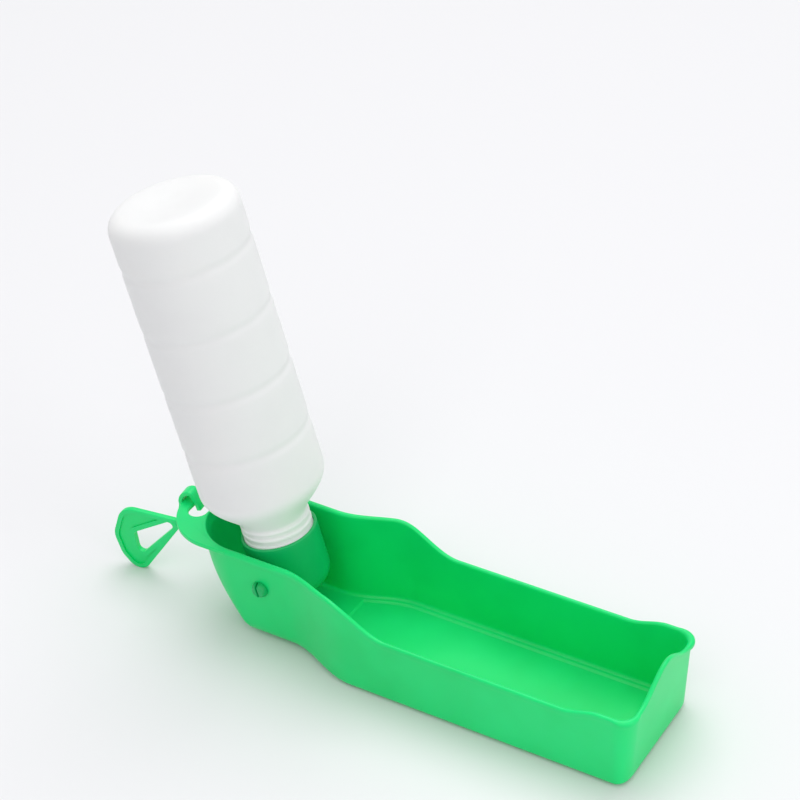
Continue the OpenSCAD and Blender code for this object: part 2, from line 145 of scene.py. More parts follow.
def reopen(obj: Piece) -> Mesh:
    """Turns a linked object back into a bmesh in millimetres.

    Args:
        obj: The object, which is removed.

    Returns:
        Its mesh.
    """
    bm = bmesh.new()
    bm.from_mesh(obj.data)
    bmesh.ops.scale(bm, vec=(1 / MM, 1 / MM, 1 / MM), verts=bm.verts)
    bpy.data.objects.remove(obj)
    return bm


def bake_modifiers(obj: Piece) -> None:
    """Writes an object's modifiers into its mesh.

    Args:
        obj: The object, which keeps no modifier.
    """
    graph = bpy.context.evaluated_depsgraph_get()
    graph.update()
    done = bpy.data.meshes.new_from_object(obj.evaluated_get(graph))
    old = obj.data
    obj.modifiers.clear()
    obj.data = done
    done.name = old.name
    bpy.data.meshes.remove(old)


def combine(base: Piece, tool: Piece, cut: Cut) -> Piece:
    """Adds or takes a tool solid.

    Args:
        base: The solid that is changed.
        tool: The tool, which is removed afterwards.
        cut: What the tool does.

    Returns:
        The changed solid.
    """
    modifier = base.modifiers.new("cut", "BOOLEAN")
    modifier.object = tool
    modifier.operation = cut.value
    modifier.solver = "EXACT"
    bake_modifiers(base)
    bpy.data.objects.remove(tool)
    return base


def finish_mesh(obj: Piece, crease: float = 32.0) -> None:
    """Merges doubles, shades smooth and marks the edges that stay sharp.

    Args:
        obj: The object.
        crease: Angle in degrees over which an edge stays sharp.
    """
    bm = bmesh.new()
    bm.from_mesh(obj.data)
    bmesh.ops.remove_doubles(bm, verts=bm.verts, dist=2e-6)
    bmesh.ops.dissolve_degenerate(bm, dist=1e-6, edges=bm.edges)
    for face in bm.faces:
        face.smooth = True
    limit = math.radians(crease)
    for edge in bm.edges:
        edge.smooth = len(edge.link_faces) != 2 or edge.calc_face_angle(0.0) < limit
    bm.to_mesh(obj.data)
    bm.free()


def grow_rings(bm: Mesh, rings: list[list[Vector]]) -> list[list[Vert]]:
    """Extrudes a closed loop through a list of rings.

    Args:
        bm: The bmesh that gets the wall.
        rings: The points of each ring, the same number in each.

    Returns:
        The vertices of the first and of the last ring, in order.
    """
    verts = bmesh.ops.create_circle(bm, segments=len(rings[0]), radius=1.0)["verts"]
    edges = sorted({e for v in verts for e in v.link_edges}, key=lambda e: e.index)
    for vert, place in zip(verts, rings[0]):
        vert.co = place
    first = list(verts)
    for ring in rings[1:]:
        grown = bmesh.ops.extrude_edge_only(bm, edges=edges)["geom"]
        fresh = {g for g in grown if isinstance(g, Vert)}
        verts = [next(e.other_vert(v) for e in v.link_edges if e.other_vert(v) in fresh) for v in verts]
        edges = [g for g in grown if isinstance(g, Edge) and fresh.issuperset(g.verts)]
        for vert, place in zip(verts, ring):
            vert.co = place
    return [first, verts]


def loop_edges(verts: list[Vert]) -> list[Edge]:
    """Returns the edges that join neighbours of a closed loop of vertices."""
    chosen = set(verts)
    around = {e for v in verts for e in v.link_edges if len(e.link_faces) < 2}
    return [e for e in around if chosen.issuperset(e.verts)]


def close_loop(bm: Mesh, verts: list[Vert]) -> None:
    """Fills a flat closed loop with triangles."""
    bmesh.ops.triangle_fill(bm, use_beauty=True, use_dissolve=False, edges=loop_edges(verts))


def face_outwards(bm: Mesh) -> None:
    """Turns all faces of a closed mesh outwards."""
    bmesh.ops.recalc_face_normals(bm, faces=bm.faces)


def spun(profile: list[Pair], steps: int = 128) -> Mesh:
    """Spins a closed profile about the Z axis.

    Args:
        profile: Points (radius, height).  Points on the axis have radius 0.
        steps: Steps round the axis.

    Returns:
        A closed bmesh.
    """
    bm = bmesh.new()
    verts = [bm.verts.new((r, 0.0, z)) for r, z in profile]
    pairs = zip(verts, verts[1:] + verts[:1])
    edges = [bm.edges.new((a, b)) for a, b in pairs if max(a.co.x, b.co.x) > 0.0]
    bmesh.ops.spin(bm, geom=verts + edges, cent=(0, 0, 0), axis=(0, 0, 1), angle=math.tau, steps=steps,
                   use_merge=True)
    bmesh.ops.remove_doubles(bm, verts=bm.verts, dist=1e-4)
    face_outwards(bm)
    return bm


def round_edges(bm: Mesh, edges: list[Edge], width: float, segments: int = 3) -> None:
    """Rounds edges of a bmesh.

    Args:
        bm: The bmesh.
        edges: The edges to round.
        width: Width of the rounding.
        segments: Faces across it.
    """
    bmesh.ops.bevel(bm, geom=edges, offset=width, offset_type="OFFSET", segments=segments, profile=0.5,
                    affect="EDGES", clamp_overlap=True, material=-1)


def hull_plate(circles: list[Triple], z0: float, z1: float, sides: int = 96) -> Mesh:
    """Makes a flat plate round a few upright cylinders.

    Args:
        circles: Centre and radius of each cylinder.
        z0: Height of the underside.
        z1: Height of the top.
        sides: Sides of each cylinder.

    Returns:
        The plate, closed, with one face above and one below.
    """
    points = [Vector(p) for x, y, r in circles for p in arc(x, y, r, 0, 360 - 360 / sides, sides - 1)]
    outline = [tuple(points[k]) for k in convex_hull_2d(points)]
    return plate(outline, z0, z1)


def plate(outline: list[Pair], z0: float, z1: float) -> Mesh:
    """Extrudes a flat outline into a plate.

    Args:
        outline: Points (x, y) of the outline.
        z0: Height of the underside.
        z1: Height of the top.

    Returns:
        The plate, closed.
    """
    bm = bmesh.new()
    face = bm.faces.new([bm.verts.new((x, y, z0)) for x, y in outline])
    grown = bmesh.ops.extrude_face_region(bm, geom=[face])["geom"]
    top = [g for g in grown if isinstance(g, Vert)]
    bmesh.ops.translate(bm, verts=top, vec=(0, 0, z1 - z0))
    face_outwards(bm)
    return bm


def border_edges(bm: Mesh, z: float) -> list[Edge]:
    """Returns the edges of a flat plate's face at height z."""
    level = [e for e in bm.edges if all(abs(v.co.z - z) < NEAR for v in e.verts)]
    return [e for e in level if e.calc_face_angle(0.0) > BEND]


# Finishes.


class NodeSheet:
    """Places and joins shader nodes in one tree."""

    def __init__(self, tree: bpy.types.NodeTree) -> None:
        """Keeps the tree that the nodes go into."""
        self.tree = tree

    def add(self, kind: str, **values: object) -> bpy.types.Node:
        """Places a node.

        Args:
            kind: Type name of the node.
            **values: Properties of the node, and values of inputs by their names with _ for a space.

        Returns:
            The node.
        """
        node = self.tree.nodes.new(kind)
        for key, value in values.items():
            if hasattr(node, key):
                setattr(node, key, value)
            else:
                node.inputs[key.replace("_", " ")].default_value = value
        return node

    def join(self, start: Socket, end: Socket) -> None:
        """Joins two sockets."""
        self.tree.links.new(start, end)

    def math(self, operation: str, a: object, b: object) -> Socket:
        """Places a Math node whose inputs are sockets or numbers, and returns its output."""
        node = self.add("ShaderNodeMath", operation=operation)
        for socket, value in zip(node.inputs, (a, b)):
            if isinstance(value, (int, float)):
                socket.default_value = value
            else:
                self.join(value, socket)
        return node.outputs[0]

    def blend(self, value: Socket, band: Pair, below: Socket, above: Socket) -> Socket:
        """Fades from one colour to another.

        Args:
            value: The value that decides.
            band: The values between which the colours fade.
            below: The colour below the band.
            above: The colour above the band.

        Returns:
            The faded colour.
        """
        low, high = band
        fade = self.add("ShaderNodeMapRange", interpolation_type="SMOOTHSTEP", From_Min=low, From_Max=high)
        self.join(value, fade.inputs["Value"])
        shade = self.add("ShaderNodeMix", data_type="RGBA")
        self.join(fade.outputs[0], shade.inputs["Factor"])
        self.join(below, shade.inputs["A"])
        self.join(above, shade.inputs["B"])
        return shade.outputs["Result"]


def moulded_group() -> bpy.types.NodeTree:
    """Builds the shared effect of moulded plastic.

    Soft clouds of a deeper and of a paler shade, a fine satin grain and a few faint rubbed
    patches.  It puts out a colour, a roughness and a height.

    Returns:
        The node group.
    """
    group = bpy.data.node_groups.new("moulded_plastic", "ShaderNodeTree")
    face = group.interface
    for name, kind, value in (
        ("Base", "NodeSocketColor", (0.5, 0.5, 0.5, 1.0)),
        ("Deep", "NodeSocketColor", (0.4, 0.4, 0.4, 1.0)),
        ("Pale", "NodeSocketColor", (0.6, 0.6, 0.6, 1.0)),
        ("Cloud Scale", "NodeSocketFloat", 18.0),
        ("Grain Scale", "NodeSocketFloat", 900.0),
        ("Gloss", "NodeSocketFloat", 0.3),
        ("Gloss Spread", "NodeSocketFloat", 0.08),
    ):
        socket = face.new_socket(name=name, in_out="INPUT", socket_type=kind)
        socket.default_value = value
    results = (("Color", "NodeSocketColor"), ("Roughness", "NodeSocketFloat"), ("Height", "NodeSocketFloat"))
    for name, kind in results:
        face.new_socket(name=name, in_out="OUTPUT", socket_type=kind)
    sheet = NodeSheet(group)
    inputs = sheet.add("NodeGroupInput")
    outputs = sheet.add("NodeGroupOutput")
    place = sheet.add("ShaderNodeTexCoord")
    clouds = sheet.add("ShaderNodeTexNoise", Detail=3.0, Roughness=0.55)
    grain = sheet.add("ShaderNodeTexNoise", Detail=2.0, Roughness=0.5)
    rubbed = sheet.add("ShaderNodeTexNoise", Scale=70.0, Detail=5.0, Roughness=0.6)
    for node in (clouds, grain, rubbed):
        sheet.join(place.outputs["Object"], node.inputs["Vector"])
    sheet.join(inputs.outputs["Cloud Scale"], clouds.inputs["Scale"])
    sheet.join(inputs.outputs["Grain Scale"], grain.inputs["Scale"])
    cloud = clouds.outputs["Fac"]
    shade = sheet.blend(cloud, DEEP_BAND, inputs.outputs["Deep"], inputs.outputs["Base"])
    shade = sheet.blend(cloud, PALE_BAND, shade, inputs.outputs["Pale"])
    sheet.join(shade, outputs.inputs["Color"])
    patch = sheet.math("SUBTRACT", rubbed.outputs["Fac"], 0.5)
    spread = sheet.math("MULTIPLY", patch, inputs.outputs["Gloss Spread"])
    rough = sheet.math("ADD", spread, inputs.outputs["Gloss"])
    sheet.join(rough, outputs.inputs["Roughness"])
    fine = sheet.math("MULTIPLY", grain.outputs["Fac"], 0.5)
    both = sheet.math("ADD", fine, sheet.math("MULTIPLY", rubbed.outputs["Fac"], 0.5))
    sheet.join(both, outputs.inputs["Height"])
    return group


@dataclass(frozen=True)
class PlasticFinish:
    """A moulded plastic: colours in linear light and how it shines."""

    name: str
    base: Triple
    deep: Triple
    pale: Triple
    gloss: float = 0.3
    gloss_spread: float = 0.1
    cloud_scale: float = 14.0
    grain_scale: float = 900.0
    bump: float = 0.05
    specular: float = 0.5
    transmission: float = 0.0
    ior: float = 1.5
    subsurface: float = 0.0
    subsurface_radius: Triple = (0.2, 1.0, 0.5)
    subsurface_scale: float = 0.002

    def material(self, group: bpy.types.NodeTree) -> bpy.types.Material:
        """Builds the material.

        Args:
            group: The shared effect of moulded plastic.

        Returns:
            The material.
        """
        made = bpy.data.materials.new(self.name)
        made.use_nodes = True
        made.node_tree.nodes.clear()
        sheet = NodeSheet(made.node_tree)
        out = sheet.add("ShaderNodeOutputMaterial")
        shader = sheet.add("ShaderNodeBsdfPrincipled")
        for socket, value in (
            ("IOR", self.ior),
            ("Specular IOR Level", self.specular),
            ("Transmission Weight", self.transmission),
            ("Subsurface Weight", self.subsurface),
            ("Subsurface Radius", self.subsurface_radius),
            ("Subsurface Scale", self.subsurface_scale),
        ):
            shader.inputs[socket].default_value = value
        effect = sheet.add("ShaderNodeGroup", node_tree=group)
        for socket, colour in (("Base", self.base), ("Deep", self.deep), ("Pale", self.pale)):
            effect.inputs[socket].default_value = (*colour, 1.0)
        for socket, value in (
            ("Cloud Scale", self.cloud_scale),
            ("Grain Scale", self.grain_scale),
            ("Gloss", self.gloss),
            ("Gloss Spread", self.gloss_spread),
        ):
            effect.inputs[socket].default_value = value
        bump = sheet.add("ShaderNodeBump", Strength=self.bump, Distance=0.0002)
        sheet.join(effect.outputs["Color"], shader.inputs["Base Color"])
        sheet.join(effect.outputs["Roughness"], shader.inputs["Roughness"])
        sheet.join(effect.outputs["Height"], bump.inputs["Height"])
        sheet.join(bump.outputs["Normal"], shader.inputs["Normal"])
        sheet.join(shader.outputs[0], out.inputs["Surface"])
        return made


SHELL = PlasticFinish(
    "green_shell",
    base=(0.003, 0.720, 0.190),
    deep=(0.002, 0.675, 0.170),
    pale=(0.006, 0.760, 0.213),
    gloss=0.36,
    gloss_spread=0.08,
    specular=0.36,
    subsurface=0.25,
    subsurface_scale=0.0025,
)
COLLAR = PlasticFinish(
    "green_collar",
    base=(0.002, 0.450, 0.128),
    deep=(0.001, 0.415, 0.113),
    pale=(0.003, 0.490, 0.148),
    gloss=0.34,
    specular=0.4,
    subsurface=0.1,
)
BOTTLE = PlasticFinish(
    "frosted_bottle",
    base=(0.945, 0.95, 0.955),
    deep=(0.93, 0.935, 0.94),
    pale=(0.96, 0.96, 0.96),
    gloss=0.46,
    cloud_scale=30.0,
    bump=0.06,
    transmission=0.04,
    ior=1.45,
    specular=0.35,
    subsurface=0.35,
    subsurface_radius=(1.0, 1.0, 1.0),
    subsurface_scale=0.004,
)
SILICONE = PlasticFinish(
    "silicone",
    base=(0.74, 0.78, 0.77),
    deep=(0.70, 0.74, 0.73),
    pale=(0.79, 0.82, 0.81),
    gloss=0.42,
    bump=0.06,
    subsurface=0.35,
    subsurface_radius=(1.0, 1.0, 1.0),
)


class Palette:
    """The materials of the piece, each built once."""

    def __init__(self) -> None:
        """Builds the shared effect and the materials."""
        group = moulded_group()
        self.shell = SHELL.material(group)
        self.collar = COLLAR.material(group)
        self.bottle = BOTTLE.material(group)
        self.silicone = SILICONE.material(group)


def dress(obj: Piece, material: bpy.types.Material) -> None:
    """Gives an object one material.

    Args:
        obj: The object.
        material: Its material.
    """
    if obj.data.materials:
        for slot in obj.material_slots:
            slot.material = material
    else:
        obj.data.materials.append(material)


# Trough.


@dataclass
class Trough:
    """The drinking trough with its rolled rim, feet, tab and slot."""

    wall: float = 1.9
    floor_t: float = 2.0
    foot_h: float = 1.0
    low_rim_z: float = 38.6
    corner_rim_z: float = 43.3
    crest_z: float = 55.0
    high_rim_z: float = 53.2
    side_draft: float = 1.2
    front_rake: float = 4.0
    corner_r: float = 10.0
    foot_round: float = 2.6
    floor_round: float = 2.0
    bead: float = 0.5
    stern_lip: float = 1.8
    corner_lip: float = 1.6
    bead_h: float = 2.6
    swoop_len: float = 35.0
    rise_len: float = 21.0
    half_w: float = 34.982
    bay_half: float = 25.261
    front_x: float = 79.5
    stern_x: float = -145.007
    pivot_x: float = -127.007
    pivot_z: float = 35.0
    taper_rear_x: float = -113.457
    taper_front_x: float = -72.507
    stern_rake: float = 31.0
    stern_power: float = 2.6
    bay_round: float = 8.0
    panel_depth: float = 0.8
    panel_inset: float = 6.2
    panel_rear: float = 14.0
    panel_corner: float = 1.5
    panel_side: tuple = ((0.0, -0.9), (0.12, -0.45), (0.7, 0.3), (1.4, 1.6))
    foot_len: float = 144.0
    foot_margin: float = 0.9
    rear_foot_len: float = 22.0
    rear_foot_w: float = 30.0
    tab_t: float = 2.5
    tab_drop: float = 0.15
    tab_back: float = 15.0
    slot_len: float = 21.6
    slot_w: float = 10.0
    bar_w: float = 6.3
    pin_hole_r: float = 3.56
    edge: float = 0.45
    foot_edge: float = 0.4
    lip_straight: float = 0.55
    bay_steps: int = 44
    side_steps: int = 80
    rise_steps: int = 24
    corner_steps: int = 26
    front_steps: int = 36
    round_steps: int = 9
    wall_steps: int = 16
    lip_steps: int = 6
    roll_steps: int = 14
    tab_steps: int = 72
    panel_steps: int = 60
    panel_round_steps: int = 10
    plan: list[Pair] = field(default_factory=list)
    normals: list[Pair] = field(default_factory=list)

    def __post_init__(self) -> None:
        """Works out the values that follow from the sizes."""
        self.draft = math.tan(math.radians(self.side_draft))
        self.floor_z = self.foot_h + self.floor_t
        self.rake = self.front_rake / (self.corner_rim_z - self.foot_h)
        self.tail_x = self.stern_x - self.bay_half
        self.swoop_rear_x = self.taper_front_x - self.swoop_len / 3
        self.swoop_front_x = self.swoop_rear_x + self.swoop_len
        self.corner_flat_x = self.front_x - 1.5 * self.corner_r
        self.corner_rise_x = self.corner_flat_x - self.rise_len
        self.crest_half = self.half_w - self.corner_r
        self.bow_x = self.pivot_x - self.bay_round
        self.tab_x = self.stern_x - self.tab_back
        self.tab_half = self.bay_half + self.stern_lip
        self.tab_top_z = self.high_rim_z - self.tab_drop
        self.slot_x = self.tab_x - self.tab_half + self.bar_w + self.slot_w / 2
        slope = self.stern_slope(self.foot_h)
        self.keel_turn = math.sqrt(1 + slope * slope) - slope

    def taper(self, x: float) -> float:
        """Returns how far the bay has widened into the basin at x, from 0 to 1."""
        return ramp(x, self.taper_rear_x, self.taper_front_x)

    def plan_half(self, x: float) -> float:
        """Returns the half width of the trough at its rim, at x."""
        return mix(self.bay_half, self.half_w, self.taper(x))

    def rim_height(self, x: float, y: float) -> float:
        """Returns the height of the rim at a point of the outline."""
        z = mix(self.high_rim_z, self.low_rim_z, ramp(x, self.swoop_rear_x, self.swoop_front_x))
        z += (self.corner_rim_z - self.low_rim_z) * ramp(x, self.corner_rise_x, self.corner_flat_x)
        if x > self.corner_flat_x:
            z += (self.crest_z - self.corner_rim_z) * ease(1 - abs(y) / self.crest_half)
        return z

    def stern_run(self, z: float) -> float:
        """Returns how far the stern has come forward at height z."""
        down = clamp01((self.high_rim_z - z) / (self.high_rim_z - self.foot_h))
        return self.stern_rake * down ** self.stern_power

    def stern_slope(self, z: float) -> float:
        """Returns the slope of the stern at height z."""
        rise = self.high_rim_z - self.foot_h
        down = clamp01((self.high_rim_z - z) / rise)
        return self.stern_rake * self.stern_power / rise * down ** (self.stern_power - 1)

    def edge_round(self, x: float) -> float:
        """Returns the radius of the bottom edge at x."""
        return mix(self.bay_round, self.foot_round, self.taper(x))

    def lay_out(self) -> None:
        """Fills in the outline, seen from above, and its outward directions."""
        half = arc(self.stern_x, 0, self.bay_half, 180, 90, self.bay_steps)
        half += [(x, self.plan_half(x))
                 for x in spread(self.taper_rear_x, self.swoop_front_x, self.side_steps)]
        half += [(x, self.half_w) for x in spread(self.corner_rise_x, self.corner_flat_x, self.rise_steps)]
        half += arc(self.front_x - self.corner_r, self.crest_half, self.corner_r, 90, 0, self.corner_steps)
        half += [(self.front_x, y) for y in spread(self.crest_half, 0.0, self.front_steps)[1:]]
        self.plan = half + [(x, -y) for x, y in half[-2:0:-1]]
        count = len(self.plan)
        self.normals = []
        for i in range(count):
            a, b = self.plan[i - 1], self.plan[(i + 1) % count]
            run, rise = b[0] - a[0], b[1] - a[1]
            length = math.hypot(run, rise)
            self.normals.append((-rise / length, run / length))

    def point(self, i: int, z: float, d: float, skin: float = 0.0) -> Vector:
        """Finds a point of the shell.

        Args:
            i: Index of the outline point.
            z: Height.
            d: How far the point is set in from the wall's face.
            skin: Thickness of wall in front of the face, 0 for the outside.

        Returns:
            The point.
        """
        x, y = self.plan[i]
        nx, ny = self.normals[i]
        inward = skin * math.sqrt(1 + (max(0.0, -nx) * self.stern_slope(z)) ** 2)
        under = self.keel_turn if x < self.bow_x else 1.0
        if x < self.bow_x:
            x = self.bow_x + (x - self.bow_x) * (1 - self.stern_run(z) / (self.bow_x - self.tail_x))
        return Vector((
            x - nx * (inward + d * under) - max(0.0, nx) * self.rake * (self.corner_rim_z - z),
            y - ny * (inward + self.draft * (self.high_rim_z - z) * ny * ny + d),
            z,
        ))

    def lip(self, i: int) -> float:
        """Returns how far the rim stands out at an outline point."""
        nx, ny = self.normals[i]
        fade = ramp(self.plan[i][0], self.taper_front_x, self.stern_x)
        return mix(self.bead, self.stern_lip, fade) + self.corner_lip * max(0.0, nx) * abs(ny) * 2

    def rings(self) -> list[list[Vector]]:
        """Lists the rings of the shell, from the flat bottom out, up, over the rim and in.

        Returns:
            The points of each ring.
        """
        around = range(len(self.plan))
        tops = [self.rim_height(x, y) for x, y in self.plan]
        lips = [self.lip(i) for i in around]
        radii = [(self.wall + lip) / 2 for lip in lips]
        lows = [top - self.bead_h - lip for top, lip in zip(tops, lips)]
        rounds = [self.edge_round(x) for x, _ in self.plan]
        feet = [self.foot_h + r for r in rounds]
        inner = self.floor_z + self.floor_round
        bend = [(1 - math.cos(a), 1 - math.sin(a)) for a in spread(0.0, math.pi / 2, self.round_steps)[:-1]]
        out = [[self.point(i, self.foot_h + rounds[i] * up, rounds[i] * inset) for i in around]
               for up, inset in bend]
        for t in spread(0.0, 1.0, self.wall_steps):
            out.append([self.point(i, mix(feet[i], lows[i], t), 0.0) for i in around])
        for t in spread(0.0, 1.0, self.lip_steps)[1:]:
            a = math.pi / 2 * t
            rise = mix(math.sin(a), t, self.lip_straight)
            inset = math.cos(a) - 1
            out.append([self.point(i, lows[i] + lips[i] * rise, lips[i] * inset) for i in around])
        for a in spread(0.0, math.pi, self.roll_steps):
            sunk, inset = 1 - math.sin(a), 1 - math.cos(a)
            out.append([self.point(i, tops[i] - radii[i] * sunk, radii[i] * inset - lips[i])
                        for i in around])
        for t in spread(1.0, 0.0, self.wall_steps):
            out.append([self.point(i, mix(inner, lows[i], t), 0.0, self.wall) for i in around])
        for up, inset in reversed(bend):
            z = self.floor_z + self.floor_round * up
            out.append([self.point(i, z, self.floor_round * inset, self.wall) for i in around])
        return out

    def shell(self) -> Piece:
        """Builds the open shell with its floor.

        Returns:
            The shell, closed.
        """
        self.lay_out()
        bm = bmesh.new()
        for verts in grow_rings(bm, self.rings()):
            close_loop(bm, verts)
        face_outwards(bm)
        return link("trough_body", bm)

    def tab_plate(self) -> Piece:
        """Builds the tab with its slot and rounded edges.

        Returns:
            The tab.
        """
        front = self.tab_x + self.tab_back
        middle = self.tab_half - (self.wall + self.stern_lip) / 2
        edge = [self.tab_x + self.tab_back * t for t in (0.25, 0.5, 0.75, 0.98)]
        outline = arc(self.tab_x, 0, self.tab_half, 90, 270, self.tab_steps)
        outline += [(x, -self.tab_half) for x in edge]
        outline += arc(front, 0, middle, 272, 88, self.tab_steps)
        outline += [(x, self.tab_half) for x in reversed(edge)]
        bm = plate(outline, self.tab_top_z - self.tab_t, self.tab_top_z)
        under = self.tab_top_z - self.tab_t
        rims = [e for z in (under, self.tab_top_z) for e in border_edges(bm, z)]
        rims = [e for e in rims if all(math.hypot(v.co.x - front, v.co.y) > middle + 1.0 for v in e.verts)]
        round_edges(bm, rims, self.edge, 4)
        tab = link("tab_plate", bm)
        reach = (self.slot_len - self.slot_w) / 2
        circles = [(self.slot_x, y, self.slot_w / 2) for y in (-reach, reach)]
        combine(tab, link("slot_cut", hull_plate(circles, under - 2, self.tab_top_z + 2)), Cut.TAKE)
        for z, grow in ((self.tab_top_z, 1), (under, -1)):
            bm = hull_plate(circles, z - self.edge, z + self.edge)
            for vert in bm.verts:
                side = Vector((vert.co.x - self.slot_x, vert.co.y - max(-reach, min(reach, vert.co.y)), 0))
                if (vert.co.z - z) * grow > 0:
                    vert.co += side.normalized() * 2 * self.edge
            combine(tab, link("slot_edge", bm), Cut.TAKE)
        return tab

    def foot(self, x0: float, x1: float, w: float, r: float) -> Piece:
        """Builds one flat foot.

        Args:
            x0: Its rear end.
            x1: Its front end.
            w: Its width.
            r: The radius of its corners.

        Returns:
            The foot.
        """
        circles = [(x, y, r) for x in (x0 + r, x1 - r) for y in (r - w / 2, w / 2 - r)]
        bm = hull_plate(circles, 0.0, self.foot_h + self.floor_t / 2)
        round_edges(bm, border_edges(bm, 0.0), self.foot_edge)
        return link("foot", bm)

    def panel_cutter(self) -> Piece:
        """Builds the solid that sinks the panel into the floor.

        Returns:
            The cutter, with sloping sides.
        """
        x0 = self.taper_rear_x + self.panel_rear
        x1 = self.front_x - self.front_rake - self.panel_inset
        rear_r = self.panel_corner
        fore_r = self.corner_r - self.panel_inset / 2
        straight = spread(x0 + rear_r, x1 - fore_r, self.panel_steps)
        side = [(x, self.plan_half(x) - self.panel_inset) for x in straight]
        rear = arc(x0 + rear_r, side[0][1] - rear_r, rear_r, 180, 90, self.panel_round_steps)[:-1]
        fore = arc(x1 - fore_r, side[-1][1] - fore_r, fore_r, 90, 0, self.panel_round_steps)[1:]
        side = rear + side + fore
        outline = side + [(x, -y) for x, y in reversed(side)]
        middle = (x0 + x1) / 2
        rows = []
        for rise, grow in self.panel_side:
            level = self.floor_z - self.panel_depth + rise
            rows.append([Vector((x + grow * math.copysign(1, x - middle), y + grow * math.copysign(1, y),
                                 level)) for x, y in outline])
        bm = bmesh.new()
        for verts in grow_rings(bm, rows):
            close_loop(bm, verts)
        face_outwards(bm)
        return link("panel_cut", bm)

    def build(self, palette: Palette) -> Piece:
        """Builds and dresses the trough.

        Args:
            palette: The materials.

        Returns:
            The finished trough.
        """
        body = self.shell()
        combine(body, self.tab_plate(), Cut.ADD)
        drawn_in = self.draft * (self.high_rim_z - self.foot_h)
        foot_w = 2 * (self.half_w - drawn_in - self.foot_round) - self.foot_margin
        end = self.foot_len / 2
        front_foot = self.foot(-end, end, foot_w, self.corner_r - self.foot_round)
        combine(body, front_foot, Cut.ADD)
        rear = self.bow_x + self.bay_round / 2
        rear_foot = self.foot(rear, rear + self.rear_foot_len, self.rear_foot_w, self.rear_foot_w / 4)
        combine(body, rear_foot, Cut.ADD)
        combine(body, self.panel_cutter(), Cut.TAKE)
        bm = bmesh.new()
        place = Matrix.Translation((self.pivot_x, 0, self.pivot_z)) @ Matrix.Rotation(math.pi / 2, 4, "X")
        r = self.pin_hole_r
        bmesh.ops.create_cone(bm, cap_ends=True, segments=96, radius1=r, radius2=r, depth=3 * self.bay_half,
                              matrix=place)
        combine(body, link("pin_cut", bm), Cut.TAKE)
        finish_mesh(body)
        dress(body, palette.shell)
        return body


# Bottle and collar.


@dataclass
class BottleAxis:
    """The axis that the bottle and the collar share."""

    pivot_x: float = -127.007
    pivot_z: float = 35.0
    lean: float = 12.75

    def place(self, bm: Mesh) -> None:
        """Moves a bmesh from its own upright axis onto the leaning axis."""
        turn = Matrix.Rotation(math.radians(-self.lean), 4, "Y")
        shift = Matrix.Translation((self.pivot_x, 0, self.pivot_z))
        bmesh.ops.transform(bm, matrix=shift @ turn, verts=bm.verts)


